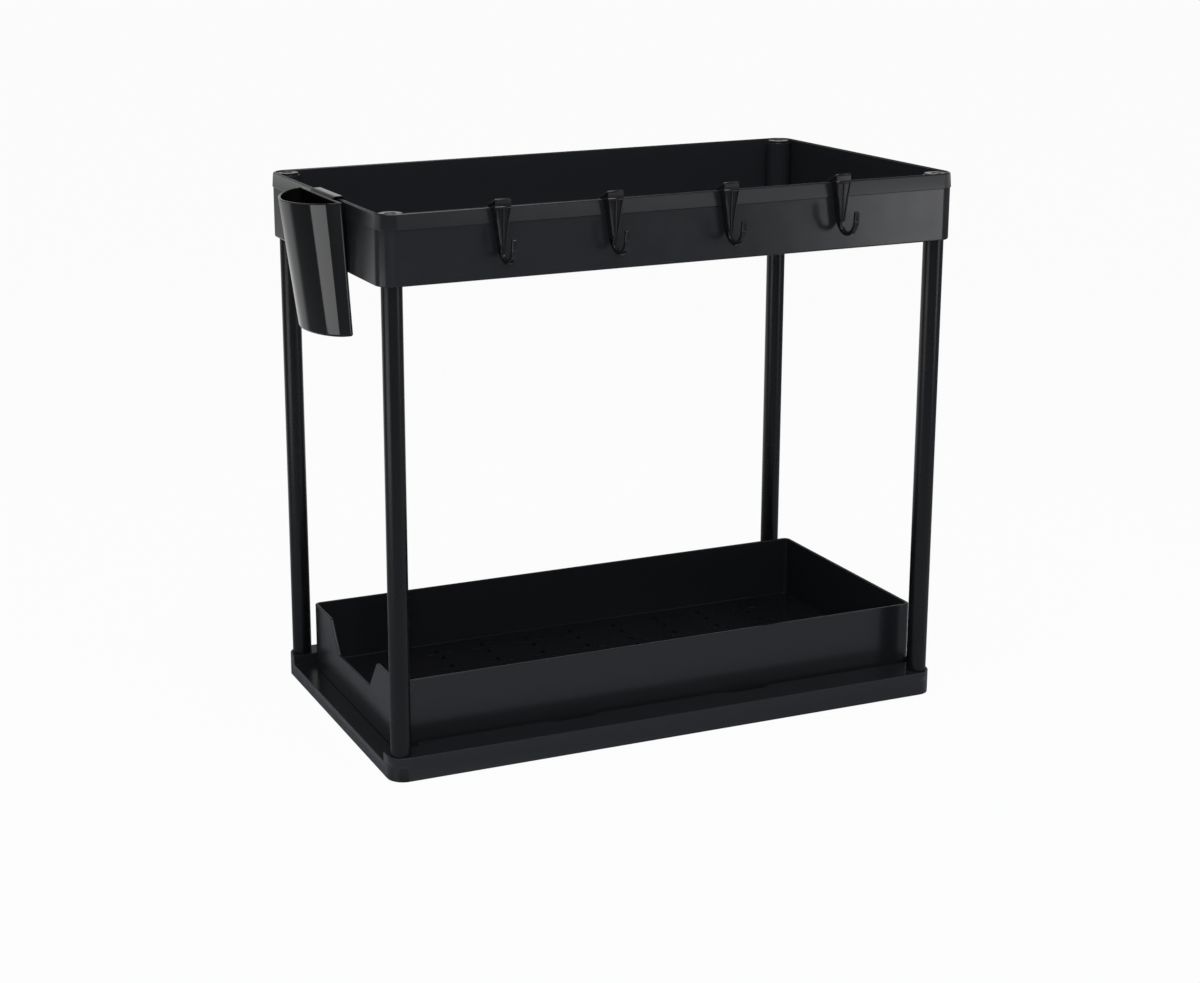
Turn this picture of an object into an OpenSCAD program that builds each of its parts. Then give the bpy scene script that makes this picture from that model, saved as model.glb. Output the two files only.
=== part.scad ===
// Two-level under sink organizer: an open tray on four tube posts over a low base,
// with a drawer that slides out of the base's left end, four hooks on the front rim
// and a cup hung on the left rim. Millimetres, +Z up, +X along the length.
// The origin is on the floor at the middle of the footprint, and the front is -Y.

/* [Overall] */
// Height from the floor to the top of the tray's rim
stand_h = 360; // [260:1:460]

/* [Tray] */
// Length of the tray over its rim band
tray_l = 401; // [360:1:440]
// Width of the tray over its rim band
tray_w = 223; // [200:1:260]
// Height of the tray
tray_h = 44; // [36:1:60]
// Thickness of the tray's walls below the band
tray_wall = 2.2; // [1.8:0.1:2.6]
// Thickness of the tray's floor
tray_floor = 2.4; // [1.8:0.1:3.2]
// Outer corner radius of the rim band
tray_r = 12; // [10.5:0.5:14]
// Height of the raised band round the rim
band_h = 10; // [7:0.5:14]
// How far the band stands proud of the wall
band_out = 0.6; // [0.4:0.1:1]
// Size of the bevel round the tray's underside
tray_bevel = 0.8; // [0.5:0.1:1.5]

/* [Posts] */
// Outer diameter of a post
post_d = 13.2; // [12:0.1:13.6]
// Wall thickness of a post's tube
post_wall = 1; // [0.7:0.1:1.4]
// Distance from the tray's end to a post's axis
post_in_x = 10.9; // [10:0.1:11.5]
// Distance from the tray's long side to a post's axis
post_in_y = 10; // [9.6:0.1:11]
// Depth of the shoulder that a post's top meets, below the rim
shoulder_depth = 8; // [6:0.5:12]
// Height of a socket's floor above the ground
socket_floor = 4; // [3.2:0.1:6]
// Radial clearance round a post in its socket
post_fit = 0.05; // [0.02:0.01:0.1]
// Thickness of the wall round a post's socket
column_wall = 1.95; // [1.4:0.05:2.4]

/* [Post caps] */
// Diameter of a cap's disc
cap_d = 15; // [14:0.1:15.4]
// Thickness of a cap's disc
cap_t = 1.4; // [1:0.1:2]
// Depth of a cap's top below the rim
cap_drop = 0.7; // [0.3:0.1:1.2]
// Diameter of the round recess in a cap
cap_recess_d = 7; // [5:0.5:9]
// Depth of that recess
cap_recess = 0.8; // [0.4:0.1:1]
// Length of a cap's stem
cap_stem = 16; // [12:1:24]

/* [Base] */
// How far the base's ends lie inside the tray's ends
base_set_x = 2; // [1:0.5:3]
// How far the base's long sides lie inside the tray's sides
base_set_y = 1; // [0.75:0.25:1.5]
// Height of the base
base_h = 16; // [14:0.5:22]
// Outer corner radius of the base
base_r = 11; // [9:0.5:13]
// Thickness of the base's outer walls
base_wall = 2; // [1.6:0.1:2.6]
// Height of the base's floor, where the drawer slides
floor_z = 9.4; // [8:0.1:10]
// Thickness of the base's floor
base_floor = 2.2; // [1.6:0.1:2.8]
// Gap between the outer walls and the ground
skirt_gap = 0.2; // [0.1:0.1:1]
// Thickness of the ledges along the long sides
ledge_t = 2; // [1.6:0.1:2.4]
// Thickness of the wall behind the drawer's inner end
end_wall = 1.8; // [1.4:0.1:2.4]
// Length of the wider mouth at the drawer's end
mouth_l = 24.4; // [23:0.2:30]
// Thickness of the wall between a post's socket and the mouth
mouth_wall = 1.75; // [1.2:0.05:2]
// Width of the stop that ends each guide
stop_t = 3; // [2:0.5:5]
// Thickness of the ribs under the floor
rib_t = 1.8; // [1.4:0.1:2.4]

/* [Guides] */
// Gap from the drawer's side to the ledge's edge
lip_gap = 3.5; // [2.5:0.1:4]
// How far the ledge hangs over the drawer's guide tabs
lip_over = 3.4; // [2.6:0.1:3.8]
// Length of a notch in the ledge
notch_l = 30; // [26:1:36]
// Distance from the middle to a notch
notch_x = 64; // [50:1:80]
// Length of a guide tab
tab_l = 24; // [16:1:25]
// Distance that the drawer comes out before its tabs meet the notches
tab_shift = 104; // [90:1:110]
// Running clearance between the drawer and the base
run_gap = 0.3; // [0.2:0.05:0.5]

/* [Drawer] */
// Gap between the drawer's sides and the posts
drawer_side_gap = 10.6; // [10:0.1:14]
// Distance from the base's open end to the drawer
drawer_setback = 13; // [10:0.5:22]
// Gap behind the drawer's inner end
drawer_end_gap = 1.3; // [0.6:0.1:3]
// Height of the drawer's rim above the ground
drawer_top = 57; // [46:1:80]
// Thickness of the drawer's walls
drawer_wall = 2; // [1.6:0.1:2.4]
// Thickness of the drawer's floor
drawer_floor = 2.2; // [1.6:0.1:2.8]
// Height of the runners under the drawer's floor
runner_h = 1.6; // [1.2:0.1:2]
// Outer corner radius of the drawer
drawer_r = 3; // [2.5:0.5:9]
// Width of the hand cut-out at its top
grip_top = 94; // [80:1:110]
// Width of the hand cut-out at its bottom
grip_bottom = 62; // [50:1:76]
// Depth of the hand cut-out
grip_depth = 21.5; // [14:0.5:26]
// Rounding of the hand cut-out's corners
grip_r = 2.5; // [1:0.5:4]

/* [Drain slots] */
// Distance between flower patterns along the length
slot_pitch_x = 35; // [30:0.5:38]
// Distance between flower patterns across the width
slot_pitch_y = 30.8; // [28:0.2:32]
// Number of flowers along the length
slot_nx = 9; // [5:2:9]
// Number of flowers across the width
slot_ny = 5; // [3:2:5]
// Length of one petal slot
petal_l = 8; // [6:0.5:9]
// Width of one petal slot
petal_w = 2.6; // [1.8:0.1:3]
// Distance from a flower's middle to the middle of a petal
petal_out = 7; // [6:0.5:8]

/* [Hooks] */
// Place of the first hook along the front rim, from the tray's middle
hook_1_x = -123.8; // [-150:0.2:-90]
// Place of the second hook
hook_2_x = -49.6; // [-70:0.2:-20]
// Place of the third hook
hook_3_x = 30; // [0:0.2:60]
// Place of the fourth hook
hook_4_x = 110.2; // [90:0.2:150]
// Width of a hook's head
hook_w = 10.5; // [8:0.5:14]
// Width of a hook's bar
hook_bar_w = 3; // [2.4:0.1:4]
// Depth of a hook's body in front of the rim
hook_depth = 6; // [5:0.5:8]
// Gap between a hook and the rim
hook_gap = 0.3; // [0.2:0.05:0.5]
// Length of the leg behind the rim
hook_leg = 11; // [8:0.5:14]
// Thickness of that leg
hook_leg_t = 2; // [1.6:0.1:2.6]
// Height of a hook's head above the rim
hook_head = 5.2; // [4.5:0.1:6]
// Drop from the rim to the middle of the J
hook_drop = 21.5; // [18:0.5:28]
// Radius of the J along the middle of its bar
hook_r = 10.2; // [8.5:0.1:12]
// Thickness of the J's bar
hook_bar_t = 2.8; // [2.2:0.1:3.4]
// Length of the J's straight tip
hook_tip = 5.6; // [4:0.2:8]
// How far the ribs stand out of a hook's face
hook_rib = 0.6; // [0.4:0.1:0.9]

/* [Cup] */
// Place of the cup's middle along the left rim, from the tray's middle
cup_y = -13.5; // [-30:0.5:30]
// Width of the cup's mouth
cup_w = 80; // [66:1:90]
// Depth of the cup's mouth
cup_d = 26.8; // [22:0.2:34]
// Width of the cup's bottom
cup_bottom_w = 78; // [62:1:86]
// Depth of the cup's bottom
cup_bottom_d = 20.6; // [16:0.2:30]
// Height of the cup
cup_h = 84.2; // [60:0.2:110]
// Wall thickness of the cup
cup_wall = 1.8; // [1.4:0.1:2.2]
// Thickness of the cup's floor
cup_floor = 2.2; // [1.6:0.1:3]
// Exponent of the cup's outline: 2 is an ellipse
cup_bow = 1.77; // [1.6:0.01:2.4]
// Radius of the cup's corners against the tray
cup_corner = 3; // [2.2:0.1:5]
// Lean of the cup, its bottom towards the tray
cup_lean = 3.78; // [3:0.02:4.2]
// Gap between the leaning cup and the tray's lower edge
cup_gap = 0.3; // [0.2:0.05:0.6]
// Width of the strap over the rim
strap_w = 43; // [30:1:54]
// Thickness of the strap
strap_t = 1.2; // [1:0.1:2]
// Length of the strap's leg inside the tray
strap_leg = 8; // [6:0.5:9]
// Gap between the strap's leg and the wall
strap_gap = 0.8; // [0.7:0.1:1.6]
// Gap between the strap and the rim's top
strap_rest = 0.2; // [0.1:0.05:0.5]

/* [Feet] */
// Diameter of a rubber foot
foot_d = 12; // [9:0.5:12.5]
// Thickness of a rubber foot
foot_t = 2; // [1.6:0.1:2.4]
// Radial clearance round a foot in its seat
foot_fit = 0.15; // [0.1:0.05:0.3]

/* [Hidden] */
$fn = 72;
tray_z = stand_h - tray_h;
half_x = tray_l / 2;
half_y = tray_w / 2;
wall_x = half_x - band_out;
wall_y = half_y - band_out;
rim_t = tray_wall + band_out;
post_x = half_x - post_in_x;
post_y = half_y - post_in_y;
corners = [[-1, -1], [1, -1], [-1, 1], [1, 1]];
socket_r = post_d / 2 + post_fit;
tube_r = post_d / 2 - post_wall;
stem_r = tube_r - post_fit;
column_r = socket_r + column_wall;
shoulder_z = stand_h - shoulder_depth;
cap_seat_z = stand_h - cap_drop - cap_t;
base_x = half_x - base_set_x;
base_y = half_y - base_set_y;
drawer_y = post_y - post_d / 2 - drawer_side_gap;
lip_y = drawer_y + lip_gap;
channel_y = lip_y + lip_over;
mouth_y = post_y - socket_r - mouth_wall;
mouth_x = -base_x + mouth_l;
drawer_x0 = -base_x + drawer_setback;
drawer_x1 = base_x - end_wall - drawer_end_gap;
drawer_l = drawer_x1 - drawer_x0;
drawer_mid = (drawer_x0 + drawer_x1) / 2;
drawer_z = floor_z + run_gap;
plate_z = floor_z - base_floor;
drawer_floor_z = drawer_z + runner_h + drawer_floor;
tab_top = base_h - ledge_t - run_gap;
hook_face = hook_gap + hook_depth;
hook_knee = 0.45 * hook_drop;
hook_taper = 1.15 * hook_drop;
hook_rib_w = hook_bar_w / 4;
cup_x = -wall_x - cup_gap - tray_h * tan(cup_lean);

black = "#1d1e20";
post_black = "#26272b";
gloss_black = "#0f1012";
rubber_black = "#2b2b2b";

// points of an arc about [x, y], from angle a0 to angle a1 in n steps
function arc(x, y, r, a0, a1, n) =
    [for (i = [0:n]) let (a = a0 + (a1 - a0) * i / n) [x + r * cos(a), y + r * sin(a)]];

// a box given by its lowest and highest corners
module box(p, q) {
    translate(p) cube(q - p);
}

// a rectangle with true round corners
module rounded_rect(l, w, r) {
    square([l - 2 * r, w], center = true);
    square([l, w - 2 * r], center = true);
    for (c = corners) {
        translate([c[0] * (l / 2 - r), c[1] * (w / 2 - r)]) circle(r);
    }
}

// a prism with round corners, from height z0 to height z1
module block(l, w, r, z0, z1) {
    translate([0, 0, z0]) linear_extrude(z1 - z0) rounded_rect(l, w, r);
}

// the same prism with a bevel of size b round its underside
module bevel_block(l, w, r, z0, z1, b) {
    block(l, w, r, z0 + b, z1);
    bevel_bar(l - 2 * r, w / 2, z0, b);
    rotate(90) bevel_bar(w - 2 * r, l / 2, z0, b);
    for (c = corners) {
        translate([c[0] * (l / 2 - r), c[1] * (w / 2 - r), z0]) rotate_extrude()
            polygon([[0, 0], [r - b, 0], [r, b], [r, 2 * b], [0, 2 * b]]);
    }
}

// the straight part of that bevel, along X
module bevel_bar(len, half, z0, b) {
    rotate([90, 0, 90]) translate([0, z0, -len / 2]) linear_extrude(len)
        polygon([[b - half, 0], [half - b, 0], [half, b], [half, 2 * b], [-half, 2 * b], [-half, b]]);
}

// its children at all four posts
module at_posts() {
    for (c = corners) {
        translate([c[0] * post_x, c[1] * post_y]) children();
    }
}

// one petal slot: the lens where two circles overlap
module petal() {
    r = (petal_l * petal_l + petal_w * petal_w) / (4 * petal_w);
    intersection() {
        translate([0, r - petal_w / 2]) circle(r);
        translate([0, petal_w / 2 - r]) circle(r);
    }
}

// four petals round a blank middle
module flower() {
    for (a = [0:90:270]) {
        rotate(a) translate([petal_out, 0]) petal();
    }
}

// the field of flowers that drains a floor
module flower_field() {
    for (i = [0:slot_nx - 1]) {
        for (j = [0:slot_ny - 1]) {
            translate([(i - (slot_nx - 1) / 2) * slot_pitch_x, (j - (slot_ny - 1) / 2) * slot_pitch_y]) flower();
        }
    }
}

// the base: a skirt with ledges over two guide channels, a floor that is open at the left end,
// and a socket for a post in each corner
module base() {
    color(black) difference() {
        union() {
            difference() {
                block(2 * base_x, 2 * base_y, base_r, skirt_gap, base_h);
                block(2 * (base_x - base_wall), 2 * (base_y - base_wall), base_r - base_wall, 0, plate_z);
                ledge_hollow();
                mirror([0, 1, 0]) ledge_hollow();
            }
            base_ribs();
            intersection() {
                at_posts() translate([0, 0, foot_t]) cylinder(r = column_r, h = base_h - foot_t);
                block(2 * base_x, 2 * base_y, base_r, 0, base_h);
            }
        }
        drawer_way();
        at_posts() {
            translate([0, 0, socket_floor]) cylinder(r = socket_r, h = base_h);
            translate([0, 0, -foot_t]) cylinder(r = foot_d / 2 + foot_fit, h = 2 * foot_t);
        }
    }
}

// the hollow under one ledge, between the outer wall and the guide channel's wall
module ledge_hollow() {
    end = -mouth_x - base_wall;
    box([-end, channel_y + base_wall, 0], [end, base_y - base_wall, base_h - ledge_t]);
}

// the ribs that stiffen the floor from below
module base_ribs() {
    end_x = base_x - base_wall / 2;
    end_y = base_y - base_wall / 2;
    top = plate_z + base_floor / 2;
    long_y = channel_y + base_wall / 2;
    for (y = [-long_y, -long_y / 3, long_y / 3, long_y]) {
        box([-end_x, y - rib_t / 2, skirt_gap], [end_x, y + rib_t / 2, top]);
    }
    for (i = [-2:2]) {
        x = i * base_x / 3;
        box([x - rib_t / 2, -end_y, skirt_gap], [x + rib_t / 2, end_y, top]);
    }
}

// what is cut out for the drawer: the way between the ledges, the channels under the ledges,
// the notches that let the guide tabs in, and the wider mouth at the left end
module drawer_way() {
    left = -base_x - 1;
    right = base_x - end_wall;
    top = base_h + 1;
    box([left, -lip_y, floor_z], [right, lip_y, top]);
    box([mouth_x + stop_t, -channel_y, floor_z], [right, channel_y, base_h - ledge_t]);
    for (x = [-notch_x, notch_x]) {
        box([x - notch_l / 2, -channel_y, floor_z], [x + notch_l / 2, channel_y, top]);
    }
    box([left, -mouth_y, floor_z], [mouth_x, mouth_y, top]);
}

// the drawer: an open box with a hand cut-out, drain slots, runners and guide tabs
module drawer() {
    inner_l = drawer_l - 2 * drawer_wall;
    inner_w = 2 * (drawer_y - drawer_wall);
    inner_r = drawer_r - drawer_wall;
    color(black) {
        difference() {
            translate([drawer_mid, 0]) block(drawer_l, 2 * drawer_y, drawer_r, drawer_z, drawer_top);
            translate([drawer_mid, 0]) block(inner_l, inner_w, inner_r, drawer_floor_z, drawer_top + 1);
            translate([drawer_mid, 0]) block(inner_l, inner_w, inner_r, 0, drawer_z + runner_h);
            translate([drawer_mid, 0]) linear_extrude(drawer_top) flower_field();
            hand_cut();
        }
        for (x = [tab_shift - notch_x, tab_shift + notch_x]) {
            guide_tab(x);
            mirror([0, 1, 0]) guide_tab(x);
        }
        runner();
        mirror([0, 1, 0]) runner();
    }
}

// the hand cut-out in the drawer's left end: a trapezoid with rounded corners
module hand_cut() {
    slope = atan2(grip_depth, (grip_top - grip_bottom) / 2);
    reach = grip_r * tan(slope / 2);
    low = drawer_top - grip_depth;
    x1 = grip_bottom / 2 - reach;
    x2 = grip_top / 2 + reach;
    half = concat(
        arc(x1, low + grip_r, grip_r, 270, 270 + slope, 6),
        arc(x2, drawer_top - grip_r, grip_r, 90 + slope, 90, 6),
        [[x2, drawer_top + 1]]);
    outline = concat(half, [for (i = [len(half) - 1:-1:0]) [-half[i][0], half[i][1]]]);
    translate([drawer_x0 - 1, 0, 0]) rotate([90, 0, 90]) linear_extrude(drawer_wall + 2) polygon(outline);
}

// a tab that runs under the base's ledge and keeps the drawer from tipping
module guide_tab(x) {
    box([x - tab_l / 2, drawer_y - drawer_wall / 2, drawer_z], [x + tab_l / 2, channel_y - run_gap, tab_top]);
}

// a strip under the drawer's floor, between two rows of slots
module runner() {
    y = 1.5 * slot_pitch_y;
    box([drawer_x0 + drawer_wall / 2, y - rib_t / 2, drawer_z],
        [drawer_x1 - drawer_wall / 2, y + rib_t / 2, drawer_z + runner_h + drawer_floor / 2]);
}

// the upper tray: walls with a raised rim band, a drained floor, and a column for a post in each corner
module upper_tray() {
    color(black) difference() {
        union() {
            difference() {
                tray_outside();
                block(2 * (half_x - rim_t), 2 * (half_y - rim_t), tray_r - rim_t, tray_z + tray_floor, stand_h + 1);
            }
            intersection() {
                at_posts() translate([0, 0, tray_z]) cylinder(r = column_r, h = cap_seat_z - tray_z);
                tray_outside();
            }
        }
        at_posts() {
            translate([0, 0, tray_z - 1]) cylinder(r = socket_r, h = shoulder_z - tray_z + 1);
            translate([0, 0, tray_z]) cylinder(r = tube_r, h = tray_h);
            translate([0, 0, cap_seat_z]) cylinder(r = cap_d / 2 + post_fit, h = tray_h);
        }
        translate([0, 0, tray_z - 1]) linear_extrude(tray_floor + 2) flower_field();
    }
}

// the tray's outside, with the rim band and the bevelled underside
module tray_outside() {
    bevel_block(2 * wall_x, 2 * wall_y, tray_r - band_out, tray_z, stand_h, tray_bevel);
    block(tray_l, tray_w, tray_r, stand_h - band_h, stand_h);
}

// one post: a tube from its socket in the base to the shoulder in the tray's column
module post(c) {
    color(post_black) translate([c[0] * post_x, c[1] * post_y, socket_floor]) difference() {
        cylinder(d = post_d, h = shoulder_z - socket_floor);
        translate([0, 0, -1]) cylinder(r = tube_r, h = stand_h);
    }
}

// one cap: a disc with a round recess, on a stem that plugs the post
module cap(c) {
    color(black) translate([c[0] * post_x, c[1] * post_y, cap_seat_z]) difference() {
        union() {
            cylinder(d = cap_d, h = cap_t);
            translate([0, 0, -cap_stem]) cylinder(r = stem_r, h = cap_stem);
        }
        translate([0, 0, cap_t - cap_recess]) cylinder(d = cap_recess_d, h = cap_t);
    }
}

// one rubber foot, under a corner of the base
module foot(c) {
    color(rubber_black) translate([c[0] * post_x, c[1] * post_y]) cylinder(d = foot_d, h = foot_t);
}

// turns a profile of [distance out from the rim, height over the rim] into a slab across the hook
module hook_slab(width) {
    rotate([90, 0, -90]) translate([0, 0, -width / 2]) linear_extrude(width) children();
}

// turns a front view of [place along the rim, height over the rim] into a slab, from u0 to u1 out
module front_slab(u0, u1) {
    translate([0, -u0, 0]) rotate([90, 0, 0]) linear_extrude(u1 - u0) children();
}

// the side view of a hook's clip and body: a leg behind the rim with a lead-in at its end,
// a head that slopes up to a rounded crest, and a flat body in front of the rim
module hook_side() {
    u1 = -rim_t - hook_gap;
    u0 = u1 - hook_leg_t;
    crest = hook_leg_t / 2;
    lead = hook_leg_t / 3;
    polygon(concat(
        [[u1, -hook_leg], [u1, hook_gap], [hook_gap, hook_gap], [hook_gap, -hook_drop], [hook_face, -hook_drop]],
        arc(hook_face - crest, hook_head - crest, crest, 0, 75, 5),
        arc(u0 + hook_leg_t, -crest / 2, hook_leg_t, 105, 180, 5),
        [[u0, lead - hook_leg], [u0 + lead, -hook_leg]]));
}

// the front view of a hook's head and its taper
module hook_front() {
    half = [[hook_w / 2, hook_head + 1], [hook_w / 2, 0], [hook_w / 3, -hook_knee],
        [hook_bar_w / 2, -hook_taper], [hook_bar_w / 2, -hook_drop - hook_r]];
    polygon(concat(half, [for (i = [len(half) - 1:-1:0]) [-half[i][0], half[i][1]]]));
}

// the two pockets between the ribs on a hook's face
module hook_pockets() {
    for (s = [-1, 1]) {
        polygon([[s * hook_rib_w / 2, 0], [s * (hook_w / 2 - hook_rib_w), 0],
            [s * (hook_w / 3 - hook_rib_w), -hook_knee],
            [s * hook_rib_w, -hook_drop], [s * hook_rib_w / 2, -hook_drop]]);
    }
}

// the side view of the J: half a ring, the body's foot inside it, and the straight tip with its bead
module hook_j() {
    outer = hook_r + hook_bar_t / 2;
    inner = hook_r - hook_bar_t / 2;
    mid = hook_gap + outer;
    flare = hook_tip / 10;
    bead = hook_bar_t / 5;
    translate([mid, -hook_drop]) {
        difference() {
            intersection() {
                circle(outer);
                translate([-outer, -outer]) square([2 * outer, outer]);
            }
            circle(inner);
        }
        intersection() {
            circle(outer);
            translate([-outer, -outer]) square([hook_depth, outer]);
            translate([-outer, -inner]) square([outer, inner]);
        }
        polygon([[inner, 0], [outer, 0], [outer + flare, hook_tip - 2 * flare], [inner + flare, hook_tip]]);
        translate([outer, -hook_bar_t / 2]) circle(bead);
    }
}

// one hook at place x on the front rim
module hook(x) {
    color(gloss_black) translate([x, -half_y, stand_h]) {
        intersection() {
            hook_slab(hook_w) hook_side();
            front_slab(-tray_r, hook_face) hook_front();
        }
        intersection() {
            front_slab(hook_face - hook_rib, hook_face + hook_rib) difference() {
                hook_front();
                hook_pockets();
            }
            hook_slab(hook_w) translate([0, -hook_taper]) square([2 * hook_face, hook_taper + hook_rib]);
        }
        hook_slab(hook_bar_w) hook_j();
    }
}

// half of a bowed oval, flat against the tray with round corners of radius r: w across, d deep
module cup_outline(w, d, r) {
    p = 2 / cup_bow;
    bow = [for (a = [-85:5:85]) [-r - (d - r) * pow(cos(a), p), w / 2 * sign(a) * pow(abs(sin(a)), p)]];
    polygon(concat(bow, arc(-r, w / 2 - r, r, 90, 0, 6), arc(-r, r - w / 2, r, 0, -90, 6)));
}

// a tapered half-oval solid, from its bottom outline to its top outline
module cup_loft(w0, d0, w1, d1, r, h) {
    linear_extrude(h, scale = [d1 / d0, w1 / w0], slices = 2) cup_outline(w0, d0, r);
}

// the cup: a tapered, flat-backed shell that leans on the tray and hangs by a strap over the rim
module hanging_cup() {
    inside = 2 * cup_wall;
    leg_x = strap_gap + rim_t - half_x;
    strap_z = stand_h + strap_rest;
    color(gloss_black) translate([0, cup_y, 0]) {
        translate([cup_x, 0, stand_h]) rotate([0, -cup_lean, 0]) translate([0, 0, -cup_h]) difference() {
            cup_loft(cup_bottom_w, cup_bottom_d, cup_w, cup_d, cup_corner, cup_h);
            translate([-cup_wall, 0, cup_floor])
                cup_loft(cup_bottom_w - inside, cup_bottom_d - inside, cup_w - inside, cup_d - inside,
                    cup_corner - cup_wall, cup_h);
        }
        box([cup_x - cup_wall, -strap_w / 2, stand_h - 1], [cup_x, strap_w / 2, strap_z + strap_t]);
        box([cup_x - cup_wall, -strap_w / 2, strap_z], [leg_x + strap_t, strap_w / 2, strap_z + strap_t]);
        box([leg_x, -strap_w / 2, stand_h - strap_leg], [leg_x + strap_t, strap_w / 2, strap_z + strap_t]);
    }
}

base();
drawer();
upper_tray();
post(corners[0]);  // post_front_left
post(corners[1]);  // post_front_right
post(corners[2]);  // post_back_left
post(corners[3]);  // post_back_right
cap(corners[0]);  // cap_front_left
cap(corners[1]);  // cap_front_right
cap(corners[2]);  // cap_back_left
cap(corners[3]);  // cap_back_right
foot(corners[0]);  // foot_front_left
foot(corners[1]);  // foot_front_right
foot(corners[2]);  // foot_back_left
foot(corners[3]);  // foot_back_right
hook(hook_1_x);  // hook_1
hook(hook_2_x);  // hook_2
hook(hook_3_x);  // hook_3
hook(hook_4_x);  // hook_4
hanging_cup();
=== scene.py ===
import math

import bmesh
import bpy
from mathutils import Matrix, Vector


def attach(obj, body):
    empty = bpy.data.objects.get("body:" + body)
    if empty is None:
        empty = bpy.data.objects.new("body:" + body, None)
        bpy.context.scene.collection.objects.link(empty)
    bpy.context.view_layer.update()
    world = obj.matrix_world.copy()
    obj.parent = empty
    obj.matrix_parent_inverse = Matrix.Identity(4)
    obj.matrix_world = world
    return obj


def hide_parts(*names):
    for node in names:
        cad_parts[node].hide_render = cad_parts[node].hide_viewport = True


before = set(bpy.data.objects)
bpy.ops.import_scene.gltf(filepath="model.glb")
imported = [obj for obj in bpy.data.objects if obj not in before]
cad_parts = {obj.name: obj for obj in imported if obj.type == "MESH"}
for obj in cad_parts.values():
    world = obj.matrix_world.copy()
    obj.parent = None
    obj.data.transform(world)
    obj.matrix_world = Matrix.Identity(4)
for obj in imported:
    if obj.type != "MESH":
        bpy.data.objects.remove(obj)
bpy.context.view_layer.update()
scene = bpy.context.scene
scene.view_settings.view_transform = "Standard"


# Camera
# It stands in front of the stand's left end, a little above its rim, as the photographer's did.
# The angles are degrees: azimuth turns it towards +X, and roll tips its right side down.
camera_place = (-0.6201, -1.2919, 0.5531)
camera_azimuth = 20.831
camera_elevation = 13.943
camera_roll = -0.928
photo_width_px = 1200
photo_height_px = 983
focal_length_px = 2154.98
principal_x_px = 428.68
principal_y_px = 410.10
sensor_width_mm = 36
nearest_seen = 0.05

camera = bpy.data.objects.new("camera", bpy.data.cameras.new("camera"))
scene.collection.objects.link(camera)
scene.camera = camera
azimuth = math.radians(camera_azimuth)
elevation = math.radians(camera_elevation)
roll = math.radians(camera_roll)
ahead = Vector((math.sin(azimuth) * math.cos(elevation), math.cos(azimuth) * math.cos(elevation),
                -math.sin(elevation)))
level = Vector((math.cos(azimuth), -math.sin(azimuth), 0))
above = level.cross(ahead)
image_right = level * math.cos(roll) + above * math.sin(roll)
image_up = above * math.cos(roll) - level * math.sin(roll)
turn = Matrix((image_right, image_up, -ahead)).transposed()
camera.matrix_world = Matrix.Translation(camera_place) @ turn.to_4x4()
camera.data.sensor_width = sensor_width_mm
camera.data.lens = focal_length_px / photo_width_px * sensor_width_mm
camera.data.shift_x = (photo_width_px / 2 - principal_x_px) / photo_width_px
camera.data.shift_y = (principal_y_px - photo_height_px / 2) / photo_width_px
camera.data.clip_start = nearest_seen


# Floor and room
# A plain pale floor in a white studio. The camera sees both as the photograph's white. Gloss sees the
# floor as it is lit, the white of the room far off, and a bright patch behind the stand: a painted pool
# of light that the floor gives off to gloss alone. The room it sees is white at the horizon, dim overhead
# and dark at the front left, behind the camera.
white = 0.983
floor_white = 1.003
floor_colour = (0.505, 0.54, 0.58, 1)
floor_whiteness = 0.96
floor_half = 15
# the patch, a painted pool of light that no lamp casts, by its side of the stand and its distance
patch_from = 0.58
patch_full = 0.72
patch_near = 0.25
patch_start = 0.6
patch_white = 0.85
patch_end = 1.2
patch_gone = 2.4
patch_rest = 0.25
# the white far off, and the room from its horizon up
sweep_start = 3.0
sweep_end = 4.5
sweep_white = 0.9
horizon_white = 0.9
overhead = 0.15
overhead_from = 0.4
room_fill = 0.15
# the dark side, by direction
dark_side = 0.12
dark_from = 0.28
dark_to = 0.43
back_from = -0.3
back_to = 0.3


def add_node(tree, kind, **settings):
    """A new node of a kind, with some of its settings."""
    node = tree.nodes.new(kind)
    for setting, value in settings.items():
        setattr(node, setting, value)
    return node


def wired(tree, kind, links, **settings):
    """A new node with its sockets, by name or place, linked or set."""
    node = add_node(tree, kind, **settings)
    for socket, source in links.items():
        if isinstance(source, bpy.types.NodeSocket):
            tree.links.new(source, node.inputs[socket])
        else:
            node.inputs[socket].default_value = source
    return node


def combined(tree, operation, first, second):
    """Two values put together by a maths operation."""
    return wired(tree, "ShaderNodeMath", {0: first, 1: second}, operation=operation).outputs[0]


def eased(tree, value, low, high, bottom, top):
    """A value eased from one level to another over a range."""
    return wired(tree, "ShaderNodeMapRange", {
        "Value": value, "From Min": low, "From Max": high, "To Min": bottom, "To Max": top},
        interpolation_type="SMOOTHSTEP").outputs[0]


def lit_side(tree, axes):
    """One towards the lit sides of the room, and dark towards the front left."""
    return combined(tree, "MAXIMUM", eased(tree, axes["X"], dark_from, dark_to, dark_side, 1),
                    eased(tree, axes["Y"], back_from, back_to, dark_side, 1))


def bare_tree(owner):
    """The empty node tree of a material or world."""
    owner.use_nodes = True
    owner.node_tree.nodes.clear()
    return owner.node_tree


def rays(tree):
    """Whether a ray comes from the camera or through something clear, and whether from gloss."""
    path = add_node(tree, "ShaderNodeLightPath").outputs
    seen = combined(tree, "MAXIMUM", path["Is Camera Ray"], path["Is Transmission Ray"])
    return seen, path["Is Glossy Ray"]


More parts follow.
